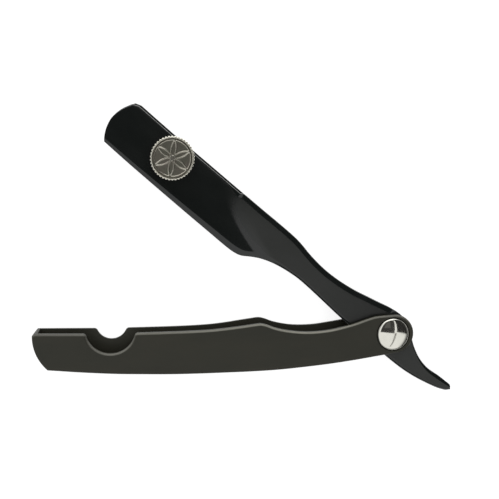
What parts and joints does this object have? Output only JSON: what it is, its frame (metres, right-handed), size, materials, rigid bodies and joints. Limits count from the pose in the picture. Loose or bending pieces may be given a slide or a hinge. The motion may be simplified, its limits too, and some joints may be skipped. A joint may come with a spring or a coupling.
{
  "type": "straight razor",
  "caption": "Folding straight razor for a half blade: channel handle with a knob notch, riveted blade holder with tail, rear clamp plate drawn up by a knurled knob.",
  "frame": {"origin": "on the pivot's axis, in the plane of the handle's back face, at the centre of the rivet's flat back head", "axes": "+X along the handle from its closed end to the pivot, +Y towards the handle's open edge, +Z out of the front face towards the knob side; the razor lies on its back, folded open as at rest"},
  "size_m": [0.1603, 0.111, 0.0109],
  "materials": {
    "anodised_handle": "satin dark olive-grey anodised aluminium",
    "black_steel": "black coated steel, glossy on the head and satin on the neck and tail",
    "polished_steel": "mirror-polished",
    "knob_nickel": "warm nickel plating, knurled rim",
    "medallion": "brushed nickel field with raised bright relief",
    "washer_brass": "plain turned"
  },
  "bodies": {
    "handle": {"handle": "anodised_handle", "pivot_barrel": "polished_steel", "pivot_rivet": "polished_steel", "pivot_washer_back": "washer_brass", "pivot_washer_front": "washer_brass"},
    "holder": {"blade_holder": "black_steel", "blade_pin_tip": "polished_steel", "blade_pin_heel": "polished_steel"},
    "clamp": {"clamp_plate": "black_steel", "clamp_bush": "knob_nickel"},
    "knob": {"clamp_stud": "polished_steel", "stud_retaining_ring": "polished_steel", "thumb_knob": "knob_nickel", "knob_medallion": "medallion"}
  },
  "joints": [
    {"name": "blade_fold", "type": "hinge", "parent": "handle", "child": "holder", "pos_m": [0, 0, 0.00475], "axis": [0, 0, 1], "range_deg": [-290, 36]},
    {"name": "knob_turn", "type": "hinge", "parent": "holder", "child": "knob", "pos_m": [-0.08358, 0.0672, 0.009], "axis": [0, 0, 1], "range_deg": [0, 540]},
    {"name": "clamp_slide", "type": "slide", "parent": "holder", "child": "clamp", "axis": [0, 0, -1], "range_m": [0, 0.00105]}
  ],
  "couplings": [
    {"joint": "knob_turn", "follows": "clamp_slide", "rad_per_m": 8976}
  ]
}
